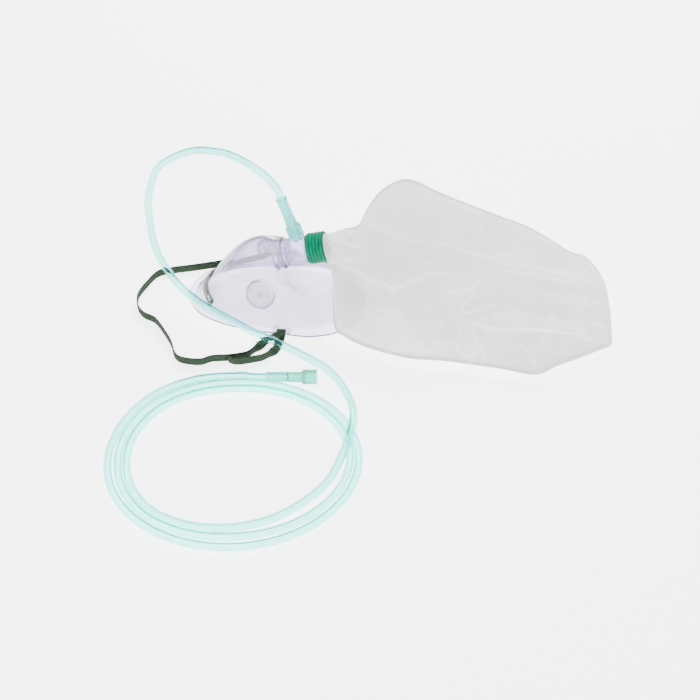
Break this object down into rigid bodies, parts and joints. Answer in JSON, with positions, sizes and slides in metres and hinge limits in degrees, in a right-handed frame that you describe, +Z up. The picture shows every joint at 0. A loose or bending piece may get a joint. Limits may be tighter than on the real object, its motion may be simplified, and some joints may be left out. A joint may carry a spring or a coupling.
{
  "type": "oxygen face mask",
  "caption": "Clear oxygen mask with side valves, nose clip, head strap, tee, frosted reservoir bag and a coiled supply tube.",
  "frame": {"origin": "on the table, under the middle of the box round the mask, strap, tee and bag (tube and its connectors left out)", "axes": "+X from the nose end towards the bag, +Y to the far side of the mask, +Z up from the table"},
  "size_m": [0.4038, 0.3691, 0.1251],
  "materials": {
    "clear_vinyl": "clear soft vinyl with a faint lilac tint",
    "clear_tee": "clear moulded plastic with a lilac tint",
    "valve_silicone": "translucent silicone",
    "soft_aluminium": "dull rolled strip",
    "green_elastic": "matt dark green elastic",
    "green_collar": "semi-gloss green",
    "frosted_film": "frosted thin film",
    "aqua_vinyl": "translucent aqua vinyl",
    "pale_green_tubing": "clear pale green vinyl tube"
  },
  "bodies": {
    "root": {"mask_shell": "clear_vinyl", "exhalation_flap_near": "valve_silicone", "exhalation_flap_far": "valve_silicone", "nose_clip": "soft_aluminium", "head_strap": "green_elastic", "tee_connector": "clear_tee", "check_valve_disc": "valve_silicone", "bag_collar": "green_collar", "reservoir_bag": "frosted_film", "mask_end_connector": "aqua_vinyl", "oxygen_tube": "pale_green_tubing", "tube_coil": "pale_green_tubing", "supply_end_connector": "aqua_vinyl"}
  },
  "joints": []
}
